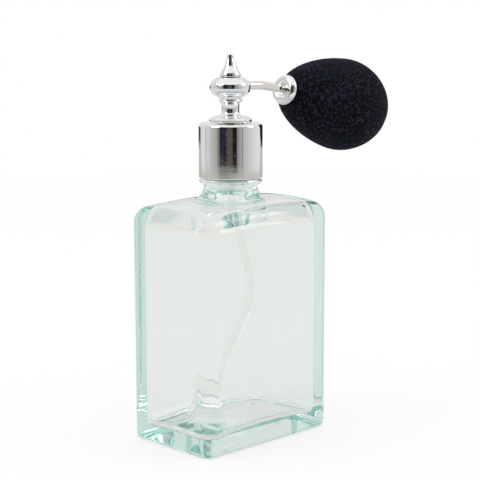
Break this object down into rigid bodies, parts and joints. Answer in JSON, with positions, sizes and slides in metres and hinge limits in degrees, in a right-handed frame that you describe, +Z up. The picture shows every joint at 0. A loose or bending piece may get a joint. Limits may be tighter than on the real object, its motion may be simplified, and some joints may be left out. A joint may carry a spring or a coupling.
{
  "type": "perfume atomiser",
  "caption": "Flat clear glass perfume flask with a chromed screw collar, a turned spray head and a net-covered rubber squeeze bulb on a bent air tube.",
  "frame": {"origin": "middle of the flask's flat base, on the surface it stands on, under the neck axis", "axes": "+Z up the neck, X along the flask's broad faces with the bulb towards +X, Y across the broad faces"},
  "size_m": [0.1061, 0.0392, 0.1332],
  "materials": {
    "clear_glass": "clear soda glass, faint green in its thick edges",
    "chrome_plate": "bright chrome plate on turned metal",
    "nickel_tube": "bright nickel-plated drawn tube",
    "black_net": "fine crocheted black thread, slight sheen",
    "black_rubber": "smooth moulded rubber",
    "seal_rubber": "matt nitrile",
    "clear_plastic": "clear extruded tube",
    "white_plastic": "moulded natural polypropylene",
    "gasket_foam": "closed-cell foam ring",
    "brass": "turned brass, unplated inside",
    "spring_steel": "fine drawn stainless steel"
  },
  "bodies": {
    "bottle": {"glass_bottle": "clear_glass"},
    "stem": {"neck_gasket": "gasket_foam", "stem_body": "brass", "dip_tube": "clear_plastic", "riser_tube": "spring_steel", "swivel_clip": "spring_steel", "swivel_seal": "seal_rubber", "thrust_washer": "white_plastic"},
    "collar": {"collar_shell": "chrome_plate", "collar_liner": "white_plastic"},
    "head": {"head_body": "chrome_plate", "finial": "chrome_plate", "finial_seal": "seal_rubber", "spray_core": "brass", "nozzle_insert": "chrome_plate", "air_tube": "nickel_tube", "bulb_ferrule": "chrome_plate", "outlet_body": "brass", "outlet_cage": "spring_steel", "outlet_seat": "brass", "rubber_bulb": "black_rubber", "net_cover": "black_net"},
    "outlet_valve": {"outlet_ball": "spring_steel"},
    "bulb_tail": {"intake_body": "brass", "intake_cage": "spring_steel", "intake_seat": "brass"},
    "intake_valve": {"intake_ball": "spring_steel"}
  },
  "joints": [
    {"name": "head_lift", "type": "slide", "parent": "bottle", "child": "stem", "axis": [0, 0, 1], "range_m": [0, 0.00476]},
    {"name": "collar_turn", "type": "hinge", "parent": "stem", "child": "collar", "pos_m": [0, 0, 0.1], "axis": [0, 0, 1], "range_deg": [0, 540]},
    {"name": "head_swivel", "type": "hinge", "parent": "stem", "child": "head", "pos_m": [0, 0, 0.112], "axis": [0, 0, 1], "continuous": true},
    {"name": "bulb_squeeze", "type": "slide", "parent": "head", "child": "bulb_tail", "axis": [-0.9776, 0, 0.2103], "range_m": [0, 0.016], "stiffness_N_per_m": 300, "deforming": ["rubber_bulb", "net_cover"]},
    {"name": "outlet_lift", "type": "slide", "parent": "head", "child": "outlet_valve", "axis": [-0.9776, 0, 0.2103], "range_m": [0, 0.0008]},
    {"name": "intake_lift", "type": "slide", "parent": "bulb_tail", "child": "intake_valve", "axis": [-0.9776, 0, 0.2103], "range_m": [0, 0.0008]}
  ],
  "couplings": [
    {"joint": "collar_turn", "follows": "head_lift", "rad_per_m": 1979}
  ]
}
